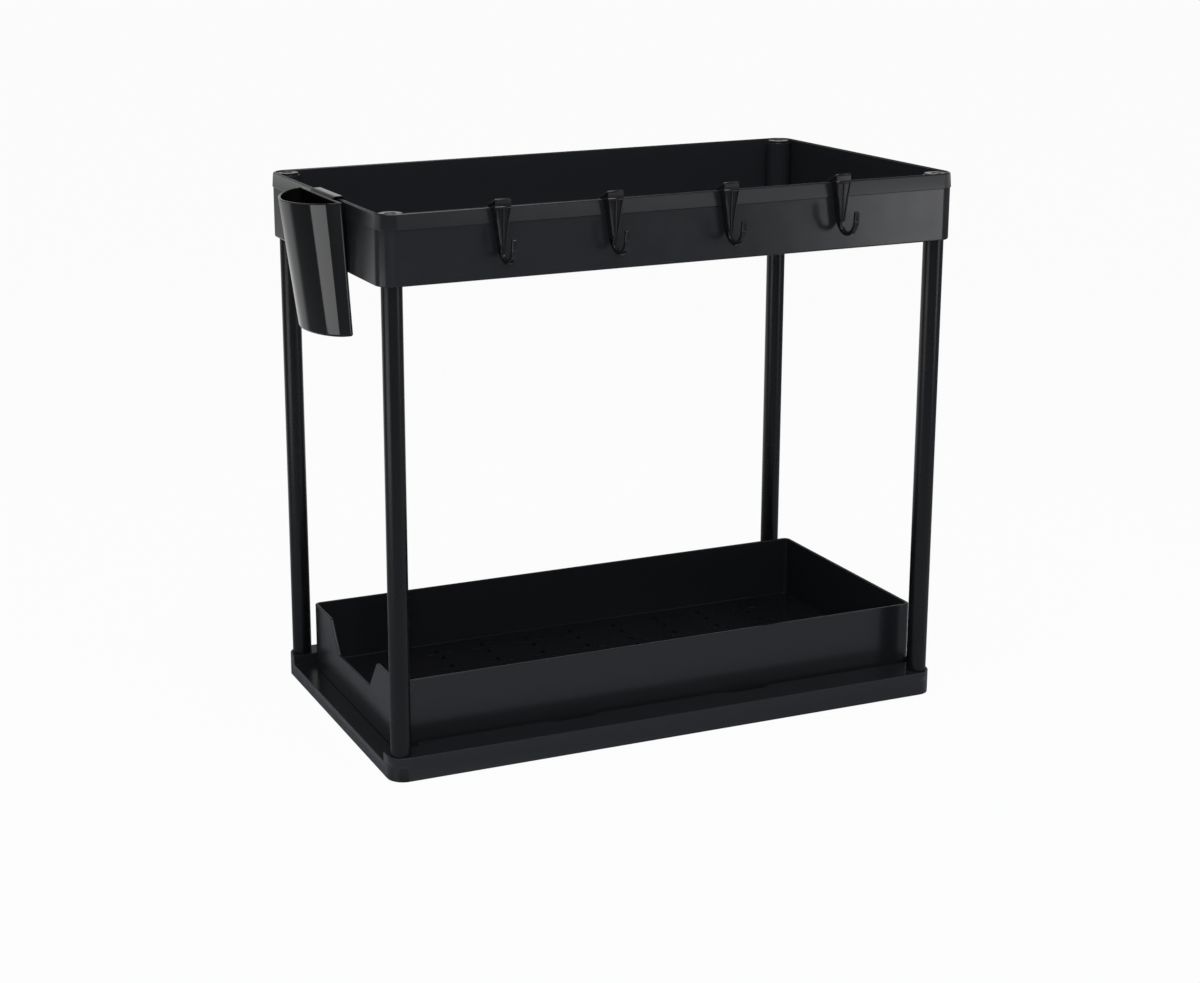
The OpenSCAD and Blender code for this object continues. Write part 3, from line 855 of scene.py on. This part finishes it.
j_sunk = 0.00005
j_inset = 0.00003
j_start = 0.003
j_steps = 24
hook_colour = (0.008, 0.0083, 0.0092, 1)
hook_plastic = moulded_plastic("hook_plastic", hook_colour, roughness=0.13, spread=0.02,
                               grain_depth=0.000002, wave_depth=0.00005)
knee = 0.45 * hook_drop
taper = 1.15 * hook_drop


def half_width(z):
    """Half the width of a hook at a height under the rim's top."""
    if z > 0:
        return hook_w / 2
    if z > -knee:
        return hook_w / 2 - (hook_w / 2 - hook_w / 3) * -z / knee
    if z > -taper:
        return hook_w / 3 - (hook_w / 3 - hook_bar_w / 2) * (-z - knee) / (taper - knee)
    return hook_bar_w / 2


def skinned(rings):
    """A shape through like rings of points, closed at both ends."""
    shape = bmesh.new()
    loops = [[shape.verts.new(point) for point in ring] for ring in rings]
    for near, far in zip(loops, loops[1:]):
        for i in range(len(near)):
            j = (i + 1) % len(near)
            shape.faces.new((near[i], near[j], far[j], far[i]))
    shape.faces.new(loops[0])
    shape.faces.new(loops[-1])
    bmesh.ops.recalc_face_normals(shape, faces=shape.faces)
    return shape


def ribbon(sections, edge):
    """A solid through sections of (inner point, outer point, half width), with rounded edges. The
    points are (distance out from the rim, height over its top)."""
    shape = skinned([[(-half, -inner[0], inner[1]), (half, -inner[0], inner[1]),
                      (half, -outer[0], outer[1]), (-half, -outer[0], outer[1])]
                     for inner, outer, half in sections])
    round_edges(shape, edge, 3)
    return as_mesh(shape, "ribbon")


def rod(path, radius, across, sides=12):
    """A round bar along points (x, out, height). Its rings lie level, or upright for a bar across the
    hook."""
    rings = []
    for x, out, z in path:
        circle = [(radius * math.cos(math.tau * i / sides), radius * math.sin(math.tau * i / sides))
                  for i in range(sides)]
        rings.append([(x, -out + c, z + d) if across else (x + c, -out + d, z) for c, d in circle])
    return as_mesh(skinned(rings), "rod")


leg_in = -rim_t - hook_gap
leg_out = leg_in - hook_leg_t
j_out = hook_r + hook_bar_t / 2
j_in = hook_r - hook_bar_t / 2
j_middle = hook_gap + j_out
# the body's side, from the leg's tip up behind the rim, over it, and down the face into the J
body = [((leg_in, -hook_leg), (leg_out + 0.0006, -hook_leg)), ((leg_in, -knee), (leg_out, -knee)),
        ((leg_in, -0.001), (leg_out, -0.0005)), ((leg_in, hook_gap), (leg_out + 0.0004, 0.0007)),
        ((leg_in + 0.0005, hook_gap), (leg_out + 0.0015, 0.0014)),
        ((hook_gap - 0.0003, hook_gap), (hook_face - 0.0009, hook_head - 0.0001)),
        ((hook_gap, hook_gap), (hook_face - 0.0003, hook_head - 0.0003)),
        ((hook_gap, -0.0005), (hook_face, hook_head - hook_crest)),
        ((hook_gap, -0.0012), (hook_face, 0)), ((hook_gap, -knee), (hook_face, -knee)),
        ((hook_gap, -hook_drop), (hook_face, -hook_drop))]
body = [(inner, outer, half_width(outer[1])) for inner, outer in body]
for z in (-taper, -hook_rest):
    reach = math.sqrt((j_out - j_sunk) ** 2 - (z + hook_drop) ** 2)
    body.append(((j_middle - reach, z), (hook_face, z), half_width(z)))
j_bar = [((hook_gap + j_inset, j_start - hook_drop), (hook_gap + hook_bar_t, j_start - hook_drop),
          hook_bar_w / 2)]
for step in range(j_steps + 1):
    angle = math.pi * (1 + step / j_steps)
    j_bar.append(((j_middle + j_out * math.cos(angle), j_out * math.sin(angle) - hook_drop),
                  (j_middle + j_in * math.cos(angle), j_in * math.sin(angle) - hook_drop), hook_bar_w / 2))
j_bar.append(((j_middle + j_out + hook_flare, hook_tip - 2 * hook_flare - hook_drop),
              (j_middle + j_in + hook_flare, hook_tip - hook_drop), hook_bar_w / 2))
hook_parts = [ribbon(body, hook_edge), ribbon(j_bar, hook_bar_edge)]
rib_out = hook_face - hook_rib_sunk
for side in (0, -1, 1):
    hook_parts.append(rod([(side * (half_width(z) - hook_rib_in), rib_out, z)
                           for z in (roll_z, -knee, -hook_drop, -taper)], hook_rib, False))
roll_x = hook_w / 2 - hook_roll_end
for end_x, out, z, radius in (
        (roll_x, rib_out, roll_z, hook_roll),
        (roll_x, hook_face - head_roll_in, hook_head - head_roll_down, hook_head_roll),
        (hook_bar_w / 2 - hook_bead_end, j_middle + j_out, -hook_drop - hook_bar_t / 2, hook_bead)):
    hook_parts.append(rod([(-end_x, out, z), (end_x, out, z)], radius, True))
for hook, x in hook_places:
    moved = [part.copy() for part in hook_parts]
    for part in moved:
        part.transform(Matrix.Translation((x, -tray_w / 2, tray_top)))
    moulding = closed_up(as_piece(moved[0], hook + "_moulding", hook_plastic), *moved[1:])
    fit(moulding, hook, "gloss_black", hook)


# Cup
# A polished half-oval cup that leans its flat back on the tray and hangs on the left rim by a strap
# that is moulded with it.
cup_y = -0.0135
cup_w = 0.080
cup_d = 0.0268
cup_bottom_w = 0.078
cup_bottom_d = 0.0206
cup_h = 0.0842
cup_wall = 0.0018
cup_floor = 0.0022
cup_bow = 1.77
cup_lean = math.radians(3.78)
cup_gap = 0.0003
cup_seam = 0.0008
cup_seam_least = 0.0003
cup_lip = 0.0006
cup_foot_edge = 0.0016
cup_floor_r = 0.0015
cup_floor_run = 0.003
strap_w = 0.043
strap_t = 0.0012
strap_leg = 0.008
strap_gap = 0.0008
strap_rest = 0.0002
strap_foot = 0.003
strap_bend = 0.0042
strap_leg_bend = 0.0014
strap_inner_bend = 0.0003
strap_edge = 0.0004
strap_side_edge = 0.0003
gloss_colour = (0.004, 0.004, 0.0042, 1)
polished_plastic = moulded_plastic("polished_plastic", gloss_colour, roughness=0.07, spread=0.01,
                                   grain_depth=0.000002, wave_depth=0.00005)
cup_x = -(tray_l / 2 - band_out) - cup_gap - (tray_top - tray_foot) * math.tan(cup_lean)


def half_oval(width, depth, seam, steps=44, seam_steps=8):
    """A bowed outline with a flat back on x = 0, from back to front. A fine bead runs along its back
    corners."""
    power = 2 / cup_bow
    half = []
    for step in range(seam_steps + 1):
        angle = math.pi * step / seam_steps
        half.append((seam * math.cos(angle) - seam, width / 2 - seam + seam * math.sin(angle)))
    for step in range(1, steps // 2):
        angle = math.pi / 2 * (1 - step / (steps // 2))
        half.append((-2 * seam - (depth - 2 * seam) * math.cos(angle) ** power,
                     (width / 2 - seam) * math.sin(angle) ** power))
    return half + [(-depth, 0)] + [(x, -y) for x, y in reversed(half)]


def cup_ring(height, inset):
    """The cup's outline at a height over its bottom, moved inwards, in the stand's frame."""
    share = height / cup_h
    width = cup_bottom_w + (cup_w - cup_bottom_w) * share - 2 * inset
    depth = cup_bottom_d + (cup_d - cup_bottom_d) * share - 2 * inset
    z = height - cup_h
    ring = []
    for x, y in half_oval(width, depth, max(cup_seam - inset, cup_seam_least)):
        x -= inset
        ring.append((cup_x + x * math.cos(cup_lean) - z * math.sin(cup_lean), cup_y + y,
                     tray_top + x * math.sin(cup_lean) + z * math.cos(cup_lean)))
    return ring


cup_line = rounded_line([
    (cup_foot_edge * 2, 0, 0), (0, 0, cup_foot_edge), (0, cup_h, cup_lip), (cup_wall, cup_h, cup_lip),
    (cup_wall, cup_floor, cup_floor_r), (cup_wall + cup_floor_run, cup_floor, 0)], 4)
cup_shell = as_mesh(skinned([cup_ring(height, inset) for inset, height in cup_line]), "cup_moulding")

strap_top = tray_top + strap_rest + strap_t
leg_x = strap_gap + rim_t - tray_l / 2
strap_line = rounded_line([
    (cup_x - cup_wall, tray_top - strap_foot, 0), (cup_x - cup_wall, strap_top, strap_bend),
    (leg_x + strap_t, strap_top, strap_leg_bend), (leg_x + strap_t, tray_top - strap_leg, strap_edge),
    (leg_x, tray_top - strap_leg, strap_edge), (leg_x, strap_top - strap_t, strap_edge),
    (cup_x, strap_top - strap_t, strap_inner_bend), (cup_x, tray_top - strap_foot, 0)], 6)
shape = bmesh.new()
ends = [[shape.verts.new((x, cup_y + side * strap_w / 2, z)) for x, z in strap_line] for side in (-1, 1)]
for i in range(len(strap_line)):
    j = (i + 1) % len(strap_line)
    shape.faces.new((ends[0][i], ends[0][j], ends[1][j], ends[1][i]))
sides = [shape.faces.new(ends[0]), shape.faces.new(list(reversed(ends[1])))]
bmesh.ops.bevel(shape, geom=[edge for face in sides for edge in face.edges], offset=strap_side_edge,
                segments=2, profile=0.5, affect="EDGES")
cup = closed_up(as_piece(cup_shell, "cup_moulding", polished_plastic), as_mesh(shape, "strap"))
fit(cup, "cup", "gloss_black", "hanging_cup")
